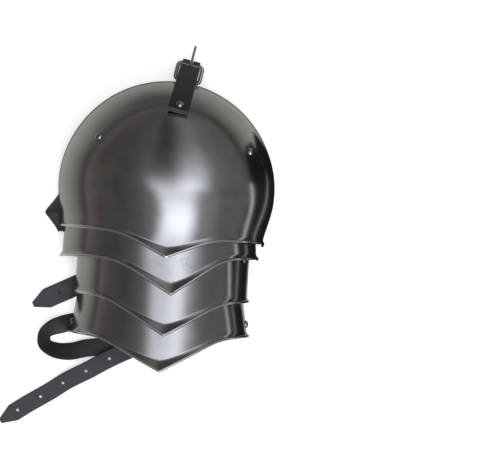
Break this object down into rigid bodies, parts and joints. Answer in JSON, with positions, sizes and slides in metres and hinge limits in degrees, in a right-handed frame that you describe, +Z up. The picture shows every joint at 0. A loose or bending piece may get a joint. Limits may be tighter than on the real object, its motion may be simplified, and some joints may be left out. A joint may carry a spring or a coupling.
{
  "type": "pauldron",
  "caption": "Steel shoulder defence: a domed cop over overlapping arm lames with pointed flared rims, riveted to inner leathers, with black leather straps and wire buckles.",
  "frame": {"origin": "on the surface it lies on, below the middle of the whole with its straps", "axes": "+Z up from the surface to the crest of the plates, +Y from the arm end to the shoulder end, +X to the right as it is seen from above"},
  "size_m": [0.2728, 0.3754, 0.1067],
  "materials": {
    "plate_steel": "satin steel sheet with fine brush lines and a few small pits",
    "rivet_steel": "satin domed rivets",
    "buckle_wire": "bright plated wire",
    "black_leather": "black grained leather with a low sheen"
  },
  "bodies": {
    "pauldron": {"cop": "plate_steel", "lame_1": "plate_steel", "lame_2": "plate_steel", "lame_3": "plate_steel", "cop_rivet_top": "rivet_steel", "cop_rivet_left": "rivet_steel", "cop_rivet_right": "rivet_steel", "lame_1_rivet_left": "rivet_steel", "lame_1_rivet_right": "rivet_steel", "lame_2_rivet_left": "rivet_steel", "lame_2_rivet_right": "rivet_steel", "lame_3_rivet_left": "rivet_steel", "lame_3_rivet_right": "rivet_steel", "arm_strap_rivet_left": "rivet_steel", "arm_strap_rivet_right": "rivet_steel", "leather_left": "black_leather", "leather_right": "black_leather", "shoulder_chape": "black_leather", "side_strap": "black_leather", "arm_buckle_strap": "black_leather", "arm_strap": "black_leather", "arm_buckle": "buckle_wire"},
    "buckle_frame": {"shoulder_buckle_frame": "buckle_wire"},
    "buckle_tongue": {"shoulder_buckle_tongue": "buckle_wire"}
  },
  "joints": [
    {"name": "frame_swing", "type": "hinge", "parent": "pauldron", "child": "buckle_frame", "pos_m": [0.05335, 0.16851, 0.0044], "axis": [0.9681, -0.2504, 0], "range_deg": [-40, 140]},
    {"name": "tongue_swing", "type": "hinge", "parent": "pauldron", "child": "buckle_tongue", "pos_m": [0.05335, 0.16851, 0.0044], "axis": [0.9681, -0.2504, 0], "range_deg": [0, 95]}
  ]
}
